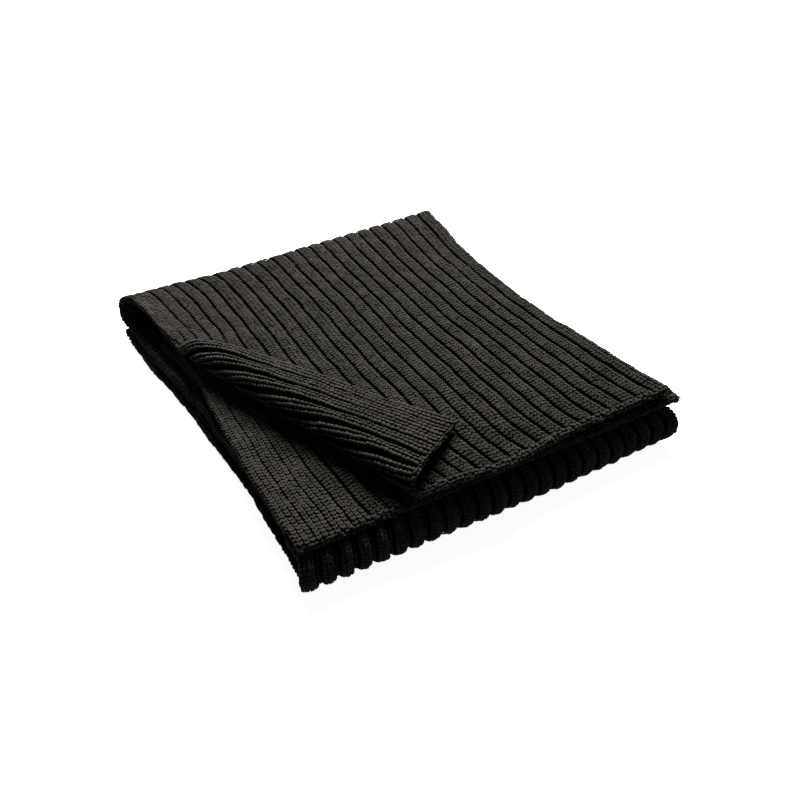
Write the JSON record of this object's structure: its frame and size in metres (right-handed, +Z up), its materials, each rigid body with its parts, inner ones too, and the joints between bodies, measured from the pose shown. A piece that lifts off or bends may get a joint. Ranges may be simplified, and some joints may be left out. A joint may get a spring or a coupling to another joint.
{
  "type": "knit scarf",
  "caption": "Rib-knit scarf folded flat into a layered rectangle, with a rounded fold at front and back and the near left corner of its top leaf turned back.",
  "frame": {"origin": "middle of the scarf's footprint, on the surface it lies on", "axes": "+X across the knit to the right, +Y along the ribs from the free ends to the back fold, +Z up from the surface"},
  "size_m": [0.2626, 0.2972, 0.0525],
  "materials": {
    "charcoal_knit": "matte, softly fuzzy ribbed wool-blend knit"
  },
  "bodies": {
    "root": {"top_leaf": "charcoal_knit", "turned_corner": "charcoal_knit", "back_fold": "charcoal_knit", "second_leaf": "charcoal_knit", "front_fold": "charcoal_knit", "lower_fold": "charcoal_knit", "middle_layers": "charcoal_knit", "lower_layers": "charcoal_knit"}
  },
  "joints": []
}
